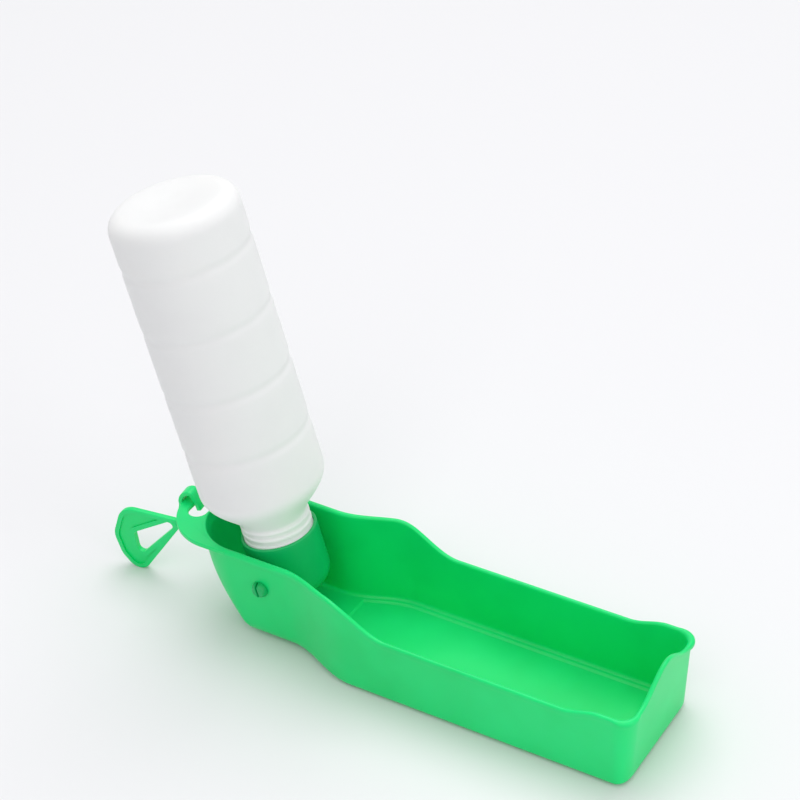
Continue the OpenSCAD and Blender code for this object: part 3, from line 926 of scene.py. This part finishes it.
@dataclass
class Bottle:
    """The squeeze bottle: neck with its thread, shoulder, ringed body and dished base."""

    radius: float = 31.5
    wall: float = 0.9
    lip_s: float = 9.8
    shoulder_s: float = 29.3
    body_s: float = 50.3
    base_s: float = 200.8
    base_round: float = 8.0
    base_dimple: float = 2.0
    shoulder_power: float = 1.4
    ring_count: int = 4
    ring_pitch: float = 33.0
    ring_depth: float = 0.6
    ring_w: float = 7.0
    neck_r: float = 17.6
    neck_wall: float = 2.0
    thread_depth: float = 0.6
    thread_pitch: float = 4.0
    thread_start: float = 11.8
    thread_end: float = 27.2
    thread_fade: float = 0.8
    ridge_half: float = 0.31
    ridge_slope: float = 0.17
    lip_round: float = 0.4
    lip_break: float = 0.3
    neck_fade: float = 0.6
    neck_steps: int = 84
    fade_steps: int = 4
    shoulder_steps: int = 28
    outer_steps: int = 240
    inner_steps: int = 200
    base_steps: int = 16
    round_steps: int = 14

    def shoulder(self, s: float, neck: float, body: float) -> float:
        """Returns the radius of the shoulder or body at height s."""
        t = clamp01((s - self.shoulder_s) / (self.body_s - self.shoulder_s))
        return neck + (body - neck) * math.sin(math.pi / 2 * t) ** self.shoulder_power

    def groove(self, s: float) -> float:
        """Returns how deep the rings are cut at height s."""
        first = (self.body_s + self.base_s - self.ring_pitch * (self.ring_count - 1)) / 2
        nearest = clamp01((s - first) / (self.ring_pitch * (self.ring_count - 1))) * (self.ring_count - 1)
        off = (s - first - round(nearest) * self.ring_pitch) / self.ring_w
        return self.ring_depth * (0.5 + 0.5 * math.cos(math.tau * off)) if abs(off) < 0.5 else 0.0

    def outside(self) -> list[Pair]:
        """Lists the outer profile from the lip to the middle of the base."""
        root = self.neck_r - self.thread_depth
        lip = self.lip_round
        points = arc(root - lip, self.lip_s + lip, lip, -90, 0, self.fade_steps)
        high = self.shoulder_s - self.neck_fade
        points += [(root, s) for s in spread(points[-1][1], high, self.neck_steps)[1:]]
        points += [(root + self.thread_depth * ease(t), high + self.neck_fade * t)
                   for t in spread(0.0, 1.0, self.fade_steps)[1:-1]]
        points += [(self.shoulder(s, self.neck_r, self.radius), s)
                   for s in spread(self.shoulder_s, self.body_s, self.shoulder_steps)]
        top = self.base_s - self.base_round
        points += [(self.radius - self.groove(s), s)
                   for s in spread(self.body_s, top, self.outer_steps)[1:-1]]
        inner = self.radius - self.base_round
        points += arc(inner, top, self.base_round, 0, 90, self.round_steps)
        points += [(inner * (1 - t), self.base_s - self.base_dimple * ease(t))
                   for t in spread(0.0, 1.0, self.base_steps)[1:]]
        return points

    def inside(self) -> list[Pair]:
        """Lists the inner profile from the middle of the base to the lip."""
        top = self.base_s - self.wall
        inner = self.radius - self.base_round
        points = [(inner * t, top - self.base_dimple * (1 - ease(t)))
                  for t in spread(0.0, 1.0, self.base_steps)]
        high = self.base_s - self.base_round
        points += arc(inner, high, self.base_round - self.wall, 90, 0, self.round_steps - 2)[1:]
        points += [(self.radius - self.wall - self.groove(s), s)
                   for s in spread(high, self.body_s, self.inner_steps)[1:-1]]
        neck = self.neck_r - self.neck_wall
        points += [(self.shoulder(s - self.wall, neck, self.radius - self.wall), s)
                   for s in spread(self.body_s, self.shoulder_s, self.shoulder_steps)]
        points += [(neck, self.lip_s + self.lip_break), (neck + self.lip_break, self.lip_s)]
        return points

    def raise_thread(self, bm: Mesh) -> None:
        """Raises the helical thread on the neck.

        Args:
            bm: The spun bottle, upright, with its lip at the low end.
        """
        root = self.neck_r - self.thread_depth
        start, end, fade = self.thread_start, self.thread_end, self.thread_fade
        for vert in bm.verts:
            x, y, s = vert.co
            if abs(math.hypot(x, y) - root) > NEAR or not start - 2 < s < end + 2:
                continue
            turn = math.atan2(y, x) / math.tau
            phase = ((s - start) / self.thread_pitch + turn) % 1.0
            ridge = clamp01((self.ridge_half - abs(phase - 0.5)) / self.ridge_slope)
            ends = ramp(s, start - fade, start + fade) * ramp(s, end + fade, end - fade)
            r = root + self.thread_depth * ease(ridge) * ends
            vert.co.x, vert.co.y = x * r / root, y * r / root

    def build(self, axis: BottleAxis, palette: Palette) -> Piece:
        """Builds and dresses the bottle.

        Args:
            axis: The leaning axis.
            palette: The materials.

        Returns:
            The finished bottle.
        """
        bm = spun(self.outside() + self.inside(), 144)
        self.raise_thread(bm)
        axis.place(bm)
        body = link("squeeze_bottle", bm)
        finish_mesh(body, 40.0)
        dress(body, palette.bottle)
        return body


@dataclass
class Collar:
    """The collar that the bottle screws into, with its two snap pins."""

    bore_r: float = 17.68
    wall: float = 1.7
    top: float = 18.9
    drop: float = 15.0
    round_r: float = 10.0
    ledge_s: float = 5.7
    chamber_r: float = 16.18
    floor_s: float = -12.6
    nose_hole_r: float = 6.2
    seat_r: float = 9.7
    seat_wall: float = 1.6
    seat_top_s: float = -8.3
    pin_r: float = 3.5
    pin_barb: float = 0.8
    pin_proud: float = 3.4
    pin_slot: float = 1.3
    bay_inside: float = 22.98
    bay_outside: float = 24.88
    rim_round: float = 0.7
    rim_break: float = 0.5
    hole_break: float = 0.3
    floor_round: float = 2.0
    side_draft: float = 1.2
    boss_step: float = 2.0
    boss_break: float = 0.4
    boss_gap: float = 0.2
    neck_gap: float = 0.05
    head_break: float = 0.15
    head_edge: float = 0.8
    head_round: float = 1.0
    slot_round: float = 0.22

    def profile(self) -> list[Pair]:
        """Lists the collar's profile, from the hole in its floor out, up over the rim and in."""
        r = self.bore_r + self.wall
        seat_out = self.seat_r + self.seat_wall
        hole, cut = self.nose_hole_r, self.hole_break
        points = [(hole, cut - self.drop), (hole + cut, -self.drop)]
        points += arc(r - self.round_r, self.round_r - self.drop, self.round_r, -90, 0, 18)
        points += [(r, s) for s in (0.0, 8.0, 15.0)]
        points += arc(r - self.rim_round, self.top - self.rim_round, self.rim_round, 0, 90, 6)
        points += arc(self.bore_r + self.rim_break, self.top - self.rim_break, self.rim_break, 90, 180, 4)
        points += [(self.bore_r, self.ledge_s), (self.chamber_r, self.ledge_s)]
        bend = self.floor_round
        points += arc(self.chamber_r - bend, self.floor_s + bend, bend, 0, -90, 6)
        points += [(seat_out, self.floor_s), (seat_out, self.seat_top_s - cut)]
        points += [(seat_out - cut, self.seat_top_s)]
        points += [(self.seat_r + 0.2, self.seat_top_s), (self.seat_r, self.seat_top_s - 0.2)]
        points += [(self.seat_r, self.floor_s), (hole, self.floor_s)]
        return points

    def pin(self, side: int) -> Piece:
        """Builds one snap pin with its split head.

        Args:
            side: 1 for the left of the drinking end, -1 for the right.

        Returns:
            The pin.
        """
        drop = math.tan(math.radians(self.side_draft)) * (self.pin_r + self.pin_barb)
        boss = self.pin_r + self.boss_step
        neck = self.bay_outside + drop + self.neck_gap
        tip = self.bay_outside + self.pin_proud
        start = self.bore_r + self.wall / 2
        boss_end = self.bay_inside - drop - self.boss_gap
        head = self.pin_r + self.pin_barb
        profile = [(0.0, start), (boss, start), (boss, boss_end - self.boss_break)]
        profile += [(boss - self.boss_break, boss_end), (self.pin_r, boss_end), (self.pin_r, neck)]
        profile += [(head - self.head_break, neck), (head, neck + self.head_break)]
        profile += [(head, neck + self.head_edge)]
        profile += arc(self.pin_r - 1.1, tip - self.head_round, self.head_round, 35, 90, 5)
        profile += [(0.0, tip)]
        bm = spun(profile, 72)
        turn = Matrix.Rotation(-side * math.pi / 2, 3, "X")
        bmesh.ops.rotate(bm, cent=(0, 0, 0), matrix=turn, verts=bm.verts)
        obj = link("snap_pin", bm)
        bm = bmesh.new()
        depth = tip + 1 - self.bay_inside
        bmesh.ops.create_cube(bm, size=1.0)
        bmesh.ops.scale(bm, vec=(self.pin_slot, depth, 4 * self.pin_r), verts=bm.verts)
        bmesh.ops.translate(bm, vec=(0, side * (tip + 1 + self.bay_inside) / 2, 0), verts=bm.verts)
        combine(obj, link("pin_slot_cut", bm), Cut.TAKE)
        bm = reopen(obj)
        beside = {v for v in bm.verts
                  if abs(abs(v.co.x) - self.pin_slot / 2) < NEAR and abs(v.co.y) > neck - NEAR}
        lips = [e for e in bm.edges if e.calc_face_angle(0.0) > BEND and beside.issuperset(e.verts)]
        round_edges(bm, lips, self.slot_round, 2)
        return link("snap_pin", bm)

    def build(self, axis: BottleAxis, palette: Palette) -> Piece:
        """Builds and dresses the collar.

        Args:
            axis: The leaning axis.
            palette: The materials.

        Returns:
            The finished collar.
        """
        body = link("screw_collar", spun(self.profile(), 144))
        for side in (-1, 1):
            combine(body, self.pin(side), Cut.ADD)
        bm = reopen(body)
        axis.place(bm)
        body = link("screw_collar", bm)
        finish_mesh(body)
        dress(body, palette.collar)
        return body


# Carry loop.


@dataclass
class CarryLoop:
    """The flat clip with a raised edge that hangs on the tab's bar by its hook."""

    bar_x: float = -183.918
    bar_z: float = 51.8
    yaw: float = 6.5
    shift: float = 2.0
    thick: float = 2.8
    web: float = 1.1
    rim_w: float = 2.6
    hook_t: float = 2.1
    hook_w: float = 6.4
    edge: float = 0.45
    far: tuple = ((33.9, 27.5, 11.1), (36.2, 19.0, 11.8), (36.2, 11.8, 9.9), (35.8, 7.2, 7.2))
    near: tuple = (9.1, 36.4, 2.4)
    bend_steps: int = 8
    eye: tuple = ((33.2, 22.2, 2.6), (32.6, 14.3, 2.6), (13.9, 34.0, 2.3))
    hook_path: tuple = ((9.1, -15.5), (5.0, -3.2), (4.7, 1.2), (3.2, 4.5), (0.4, 6.4), (-1.7, 6.3),
                        (-3.0, 4.3), (-4.6, 1.0), (-5.6, -2.5))

    def circles(self, corners: tuple, grow: float) -> list[Triple]:
        """Returns corner circles with their radius grown, about the bar."""
        return [(-u, w - self.bar_z, max(0.15, r + grow)) for u, w, r in corners]

    def hook_line(self) -> list[Vector]:
        """Returns the middle line of the hook's bent arm."""
        knots = [Vector(p) for p in self.hook_path]
        knots = [knots[0]] + knots + [knots[-1]]
        line = []
        for a, b, c, d in zip(knots, knots[1:], knots[2:], knots[3:]):
            for t in spread(0.0, 1.0, self.bend_steps)[:-1]:
                curve = (2 * a - 5 * b + 4 * c - d) * t * t + (3 * b - a - 3 * c + d) * t ** 3
                line.append((2 * b + (c - a) * t + curve) / 2)
        line.append(knots[-1])
        return line

    def hook(self) -> Piece:
        """Builds the hook.

        Returns:
            The hook, flat, with rounded edges.
        """
        line = self.hook_line()
        sides = ([], [])
        for k, point in enumerate(line):
            run = (line[min(k + 1, len(line) - 1)] - line[max(k - 1, 0)]).normalized()
            across = Vector((-run.y, run.x)) * self.hook_t / 2
            for side, sign in zip(sides, (1, -1)):
                p = point + across * sign
                side.append((-p.x, p.y))
        low = self.thick / 2 - self.hook_w
        bm = plate(sides[0] + sides[1][::-1], low, self.thick / 2)
        rims = [e for z in (low, self.thick / 2) for e in border_edges(bm, z)]
        round_edges(bm, rims, self.edge, 3)
        return link("loop_hook", bm)

    def build(self, palette: Palette) -> Piece:
        """Builds and dresses the carry loop.

        Args:
            palette: The materials.

        Returns:
            The finished loop.
        """
        half = self.thick / 2
        outer = self.far + (self.near,)
        bm = hull_plate(self.circles(outer, 0.0), -half, half)
        round_edges(bm, [e for z in (-half, half) for e in border_edges(bm, z)], self.edge, 3)
        body = link("carry_clip", bm)
        eye = hull_plate(self.circles(self.eye, 0.0), -half - 1, half + 1)
        combine(body, link("eye_cut", eye), Cut.TAKE)
        for side in (-1, 1):
            low, high = sorted((side * self.web / 2, side * (half + 1)))
            pocket = link("pocket_cut", hull_plate(self.circles(outer, -self.rim_w), low, high))
            kept = hull_plate(self.circles(self.eye, self.rim_w), low - 1, high + 1)
            combine(pocket, link("pocket_eye", kept), Cut.TAKE)
            combine(body, pocket, Cut.TAKE)
        combine(body, self.hook(), Cut.ADD)
        bm = reopen(body)
        bar = Matrix.Translation((self.bar_x, 0, self.bar_z))
        stand = Matrix.Rotation(math.radians(self.yaw), 4, "Z") @ Matrix.Rotation(math.pi / 2, 4, "X")
        place = bar @ stand @ Matrix.Translation((0, 0, self.shift))
        bmesh.ops.transform(bm, matrix=place, verts=bm.verts)
        body = link("carry_clip", bm)
        finish_mesh(body)
        dress(body, palette.shell)
        return body


# Studio.


@dataclass(frozen=True)
class Lamp:
    """A soft square lamp: its places in metres, its side in metres and its power in watts."""

    name: str
    place: Triple
    aim: Triple
    size: float
    power: float

    def hang(self) -> None:
        """Hangs the lamp, facing the point that it is aimed at."""
        data = bpy.data.lights.new(self.name, "AREA")
        data.shape = "SQUARE"
        data.size = self.size
        data.energy = self.power
        lamp = bpy.data.objects.new(self.name, data)
        lamp.location = self.place
        lamp.rotation_euler = (Vector(self.place) - Vector(self.aim)).to_track_quat("Z", "Y").to_euler()
        bpy.context.scene.collection.objects.link(lamp)


LAMPS = (
    Lamp("overhead", (-0.5, 1.0, 3.0), (-0.05, 0.0, 0.0), 2.6, 52.0),
    Lamp("front", (0.5, -1.6, 2.3), (0.0, 0.0, 0.03), 1.6, 13.0),
    Lamp("side", (1.9, -0.2, 0.9), (0.0, 0.0, 0.05), 1.2, 9.0),
)


@dataclass
class Studio:
    """The pale table, the soft lamps and the camera."""

    azimuth: float = 33.945
    elevation: float = 35.879
    roll: float = -4.37
    distance: float = 1359.549
    focal: float = 2350.53
    target: tuple = (-189.154, 201.436, -18.88)
    picture_w: float = 800.0
    sensor_w: float = 36.0
    view_depth: float = 50.0
    floor_size: float = 8.0
    floor_colour: tuple = (0.785, 0.785, 0.805, 1.0)
    floor_roughness: float = 0.55
    floor_specular: float = 0.3
    sky_strength: float = 0.62

    def camera(self) -> None:
        """Sets up the camera at the photograph's viewing angle."""
        a, e, r = (math.radians(v) for v in (self.azimuth, self.elevation, self.roll))
        back = Vector((math.sin(a) * math.cos(e), -math.cos(a) * math.cos(e), math.sin(e)))
        right = Vector((math.cos(a), math.sin(a), 0.0))
        up = back.cross(right)
        side = right * math.cos(r) + up * math.sin(r)
        top = up * math.cos(r) - right * math.sin(r)
        eye = (Vector(self.target) + back * self.distance) * MM
        turn = Matrix((side, top, back)).transposed().to_4x4()
        data = bpy.data.cameras.new("camera")
        data.sensor_fit = "HORIZONTAL"
        data.sensor_width = self.sensor_w
        data.lens = self.sensor_w * self.focal / self.picture_w
        data.clip_end = self.view_depth
        camera = bpy.data.objects.new("camera", data)
        camera.matrix_world = Matrix.Translation(eye) @ turn
        bpy.context.scene.collection.objects.link(camera)
        bpy.context.scene.camera = camera

    def floor(self) -> None:
        """Lays the pale table."""
        bm = bmesh.new()
        bmesh.ops.create_grid(bm, x_segments=1, y_segments=1, size=self.floor_size / MM / 2)
        floor = link("table", bm)
        paper = bpy.data.materials.new("pale_table")
        paper.use_nodes = True
        shader = paper.node_tree.nodes["Principled BSDF"]
        shader.inputs["Base Color"].default_value = self.floor_colour
        shader.inputs["Roughness"].default_value = self.floor_roughness
        shader.inputs["Specular IOR Level"].default_value = self.floor_specular
        floor.data.materials.append(paper)

    def light(self) -> None:
        """Hangs the lamps and sets the plain surroundings."""
        for lamp in LAMPS:
            lamp.hang()
        world = bpy.data.worlds.new("studio")
        world.use_nodes = True
        shade = world.node_tree.nodes["Background"]
        shade.inputs["Color"].default_value = (1.0, 1.0, 1.0, 1.0)
        shade.inputs["Strength"].default_value = self.sky_strength
        bpy.context.scene.world = world
        bpy.context.scene.view_settings.view_transform = "Standard"

    def build(self) -> None:
        """Sets up camera, table and lamps."""
        self.camera()
        self.floor()
        self.light()


# Assembly.


def carried(palette: Palette) -> None:
    """Dresses the CAD nodes that stay.

    Args:
        palette: The materials.
    """
    soft = palette.silicone
    finishes = {"lip_gasket": soft, "slit_valve": soft, "valve_retainer": palette.collar}
    for node, material in finishes.items():
        dress(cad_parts[node], material)
        LOG.info("%s: CAD node, dressed", node)


def mount(piece: Piece, node: str, body: str) -> None:
    """Puts a finished piece in the place of its CAD node.

    Args:
        piece: The piece.
        node: The node that it stands for.
        body: The body that it rides on.
    """
    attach(piece, body)
    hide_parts(node)
    LOG.info("%s: stands for %s, %d faces", piece.name, node, len(piece.data.polygons))


def main() -> None:
    """Builds the whole scene."""
    Studio().build()
    palette = Palette()
    axis = BottleAxis()
    mount(Trough().build(palette), "trough", "trough")
    mount(Collar().build(axis, palette), "collar_cap", "collar")
    mount(Bottle().build(axis, palette), "bottle", "bottle")
    mount(CarryLoop().build(palette), "carry_loop", "carry_loop")
    carried(palette)


if __name__ == "__main__":
    main()
